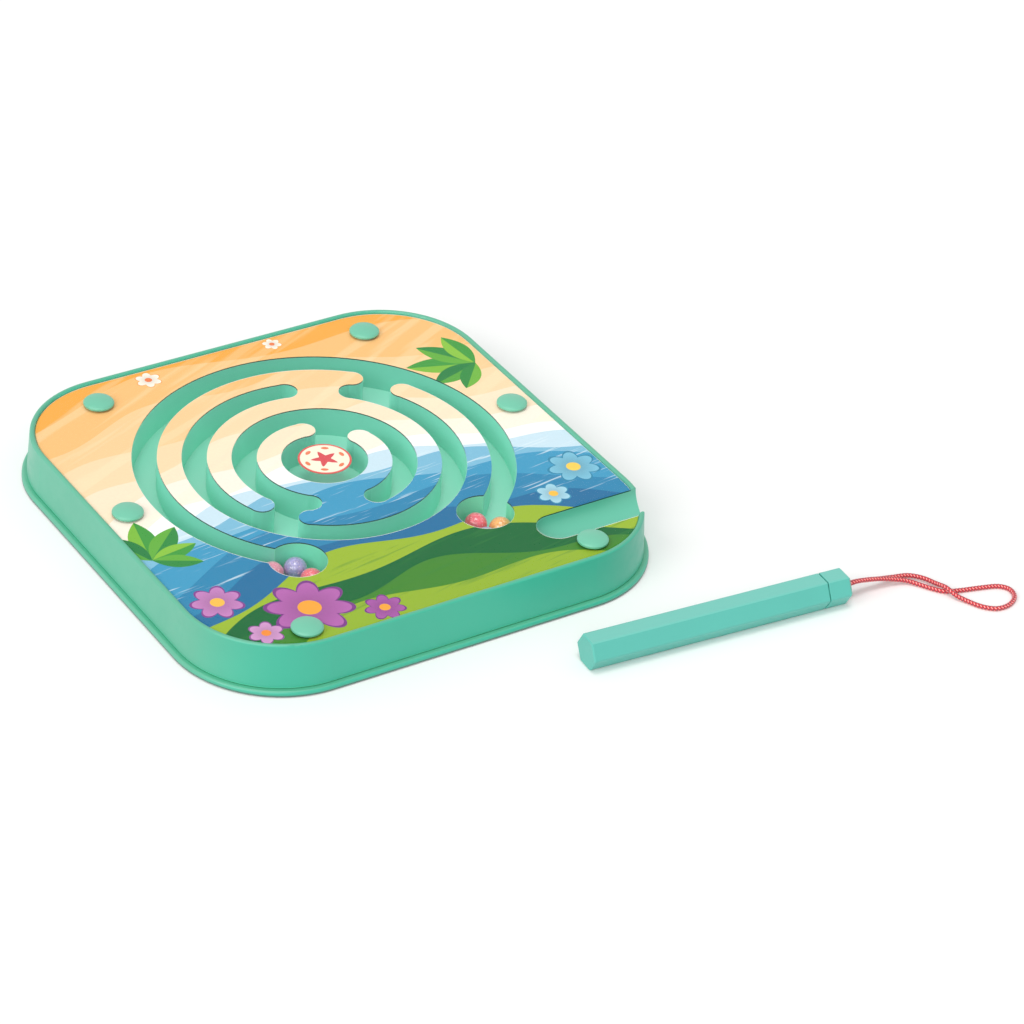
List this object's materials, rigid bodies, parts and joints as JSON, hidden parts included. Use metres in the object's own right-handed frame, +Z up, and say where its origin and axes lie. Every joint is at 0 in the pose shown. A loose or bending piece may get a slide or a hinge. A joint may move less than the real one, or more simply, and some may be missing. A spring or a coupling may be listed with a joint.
{
  "type": "magnetic ball maze board game",
  "caption": "Closed tabletop maze board with ring channels, trapped coloured balls under a clear cover, and a magnet pen with a cord loop that pulls the balls to the middle.",
  "frame": {"origin": "on the table, under the middle of the board's bottom face", "axes": "+Z up, +X to the board's right, +Y to the board's back"},
  "size_m": [0.3221, 0.2878, 0.0243],
  "materials": {
    "teal_plastic": "satin",
    "pen_plastic": "satin",
    "printed_sheet": "printed gloss film",
    "clear_plastic": "clear polystyrene",
    "lilac_ball": "pearl gloss",
    "red_ball": "pearl gloss",
    "pink_ball": "pearl gloss",
    "orange_ball": "pearl gloss",
    "zinc_steel": "zinc plated",
    "magnet": "matt ferrite",
    "red_cord": "braided"
  },
  "bodies": {
    "board": {"upper_shell": "teal_plastic", "base_shell": "teal_plastic", "print_sheet": "printed_sheet", "clear_cover": "clear_plastic", "goal_disc": "printed_sheet", "rivet_1": "teal_plastic", "rivet_2": "teal_plastic", "rivet_3": "teal_plastic", "rivet_4": "teal_plastic", "rivet_5": "teal_plastic", "rivet_6": "teal_plastic", "screw_1": "zinc_steel", "screw_2": "zinc_steel", "screw_3": "zinc_steel", "screw_4": "zinc_steel", "screw_5": "zinc_steel", "screw_6": "zinc_steel"},
    "running_ball": {"ball_run": "pink_ball"},
    "well_a_red": {"ball_a_red": "red_ball"},
    "well_a_lilac": {"ball_a_lilac": "lilac_ball"},
    "well_b_orange": {"ball_b_orange": "orange_ball"},
    "well_b_red": {"ball_b_red": "red_ball"},
    "well_b_lilac": {"ball_b_lilac": "lilac_ball"},
    "pen": {"pen_barrel": "pen_plastic", "pen_cap": "pen_plastic", "pen_magnet": "magnet", "cord": "red_cord", "cord_knot": "red_cord"}
  },
  "joints": [
    {"name": "ball_run", "type": "hinge", "parent": "board", "child": "running_ball", "pos_m": [0, 0.0084, 0.0127], "axis": [0, 0, 1], "range_deg": [-269, 0]},
    {"name": "well_a_red_roll", "type": "hinge", "parent": "board", "child": "well_a_red", "pos_m": [-0.0451, -0.04913, 0.0127], "axis": [0, 0, 1], "range_deg": [-90, 0]},
    {"name": "well_a_lilac_roll", "type": "hinge", "parent": "board", "child": "well_a_lilac", "pos_m": [-0.0451, -0.04913, 0.0127], "axis": [0, 0, 1], "range_deg": [-90, 0]},
    {"name": "well_b_orange_roll", "type": "hinge", "parent": "board", "child": "well_b_orange", "pos_m": [0.0383, -0.05386, 0.0127], "axis": [0, 0, 1], "continuous": true},
    {"name": "well_b_red_roll", "type": "hinge", "parent": "board", "child": "well_b_red", "pos_m": [0.0383, -0.05386, 0.0127], "axis": [0, 0, 1], "continuous": true},
    {"name": "well_b_lilac_roll", "type": "hinge", "parent": "board", "child": "well_b_lilac", "pos_m": [0.0383, -0.05386, 0.0127], "axis": [0, 0, 1], "continuous": true},
    {"name": "pen_lift", "type": "slide", "parent": "board", "child": "pen", "axis": [0, 0, 1], "range_m": [0, 0.1]}
  ],
  "couplings": [
    {"joint": "well_a_lilac_roll", "follows": "well_a_red_roll", "ratio": 1},
    {"joint": "well_b_red_roll", "follows": "well_b_orange_roll", "ratio": 1},
    {"joint": "well_b_lilac_roll", "follows": "well_b_orange_roll", "ratio": 1}
  ]
}
